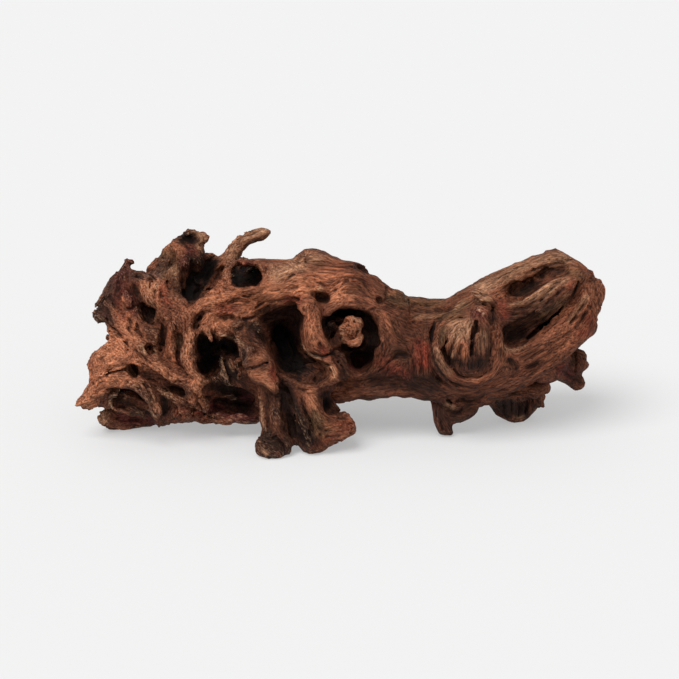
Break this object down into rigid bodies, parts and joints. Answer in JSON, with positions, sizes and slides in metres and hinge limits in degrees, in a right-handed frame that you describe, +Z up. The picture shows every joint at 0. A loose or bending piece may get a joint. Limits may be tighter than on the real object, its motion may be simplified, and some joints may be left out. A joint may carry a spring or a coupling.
{
  "type": "driftwood",
  "caption": "Weathered driftwood root with worn hollows, broken horns and a knotted trunk, lying on its own stubs as an ornament for an aquarium, terrarium or shelf.",
  "frame": {"origin": "centre of the bounding box, on the surface that the wood lies on", "axes": "+X along the wood from its tangled crown to its flared end, +Y towards the back, +Z up"},
  "size_m": [0.3148, 0.1032, 0.1182],
  "materials": {
    "wood": "dry weathered wood, red-brown on the lit ridges, darker in the hollows, fine grain and pits"
  },
  "bodies": {
    "root": {"driftwood": "wood"}
  },
  "joints": []
}
